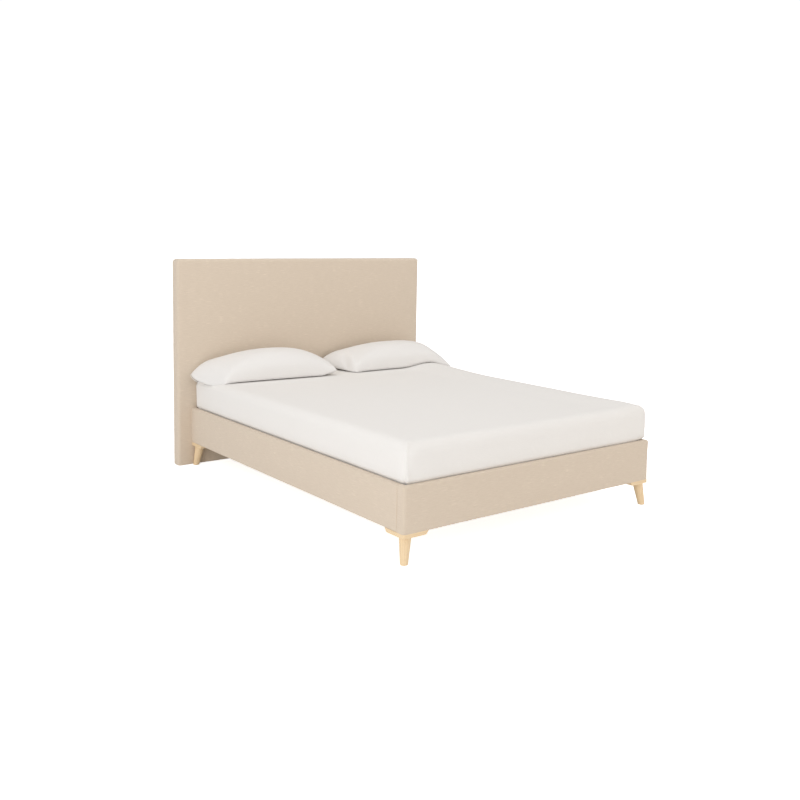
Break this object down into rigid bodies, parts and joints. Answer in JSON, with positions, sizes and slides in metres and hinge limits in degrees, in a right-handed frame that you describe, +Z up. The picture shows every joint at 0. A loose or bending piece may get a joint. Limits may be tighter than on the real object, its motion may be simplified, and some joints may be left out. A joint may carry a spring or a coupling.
{
  "type": "upholstered bed",
  "caption": "Queen-size upholstered bed with a floor-standing padded headboard, low padded rails, splayed wooden legs, slatted base, mattress, fitted sheet and pillows.",
  "frame": {"origin": "middle of the footprint box, on the floor", "axes": "+X across the bed to the right seen from the foot, +Y towards the headboard, +Z up"},
  "size_m": [1.756, 2.13, 1.21],
  "materials": {
    "linen": "matt slubbed linen weave, oatmeal",
    "foam": "open-cell polyurethane foam",
    "back_cloth": "matt non-woven cloth",
    "plywood": "raw birch plywood",
    "rail_board": "raw plywood board",
    "pine": "planed pine, unfinished",
    "slat_pine": "planed pine, unfinished",
    "webbing": "woven polyester tape",
    "zinc_steel": "bright zinc plate",
    "oak": "clear matt lacquer on pale oak",
    "glide_plastic": "moulded black nylon",
    "ticking": "quilted mattress ticking",
    "sheet_cotton": "plain white percale",
    "pillow_cotton": "plain white percale"
  },
  "bodies": {
    "frame": {"beam_hanger_foot": "zinc_steel", "beam_hanger_head": "zinc_steel", "centre_beam": "pine", "centre_leg": "pine", "corner_brackets": "zinc_steel", "corner_plate_foot_left": "oak", "corner_plate_foot_right": "oak", "corner_plate_head_left": "oak", "corner_plate_head_right": "oak", "floor_glides": "glide_plastic", "foot_cover": "linen", "foot_foam": "foam", "foot_rail": "rail_board", "foot_return_left": "pine", "foot_return_right": "pine", "frame_bolts": "zinc_steel", "head_rail": "rail_board", "headboard_back_cloth": "back_cloth", "headboard_bottom_rail": "pine", "headboard_cover": "linen", "headboard_foam": "foam", "headboard_front_panel": "plywood", "headboard_middle_rail": "pine", "headboard_stile_left": "pine", "headboard_stile_right": "pine", "headboard_top_rail": "pine", "leg_bolts": "zinc_steel", "leg_foot_left": "oak", "leg_foot_right": "oak", "leg_head_left": "oak", "leg_head_right": "oak", "side_rail_cover_left": "linen", "side_rail_cover_right": "linen", "side_rail_foam_left": "foam", "side_rail_foam_right": "foam", "side_rail_left": "rail_board", "side_rail_right": "rail_board", "slat_01": "slat_pine", "slat_02": "slat_pine", "slat_03": "slat_pine", "slat_04": "slat_pine", "slat_05": "slat_pine", "slat_06": "slat_pine", "slat_07": "slat_pine", "slat_08": "slat_pine", "slat_09": "slat_pine", "slat_10": "slat_pine", "slat_11": "slat_pine", "slat_12": "slat_pine", "slat_ledger_left": "pine", "slat_ledger_right": "pine", "slat_tape_left": "webbing", "slat_tape_right": "webbing", "wood_screws": "zinc_steel"},
    "mattress": {"mattress": "ticking", "fitted_sheet": "sheet_cotton"},
    "pillow_left": {"pillow_left": "pillow_cotton"},
    "pillow_right": {"pillow_right": "pillow_cotton"},
    "centre_foot": {"centre_foot": "glide_plastic"}
  },
  "joints": [
    {"name": "mattress_lift", "type": "slide", "parent": "frame", "child": "mattress", "axis": [0, 0, 1], "range_m": [0, 0.3]},
    {"name": "pillow_left_lift", "type": "slide", "parent": "mattress", "child": "pillow_left", "axis": [0, 0, 1], "range_m": [0, 0.25]},
    {"name": "pillow_right_lift", "type": "slide", "parent": "mattress", "child": "pillow_right", "axis": [0, 0, 1], "range_m": [0, 0.25]},
    {"name": "centre_foot_screw", "type": "slide", "parent": "frame", "child": "centre_foot", "axis": [0, 0, 1], "range_m": [0, 0.01]}
  ]
}
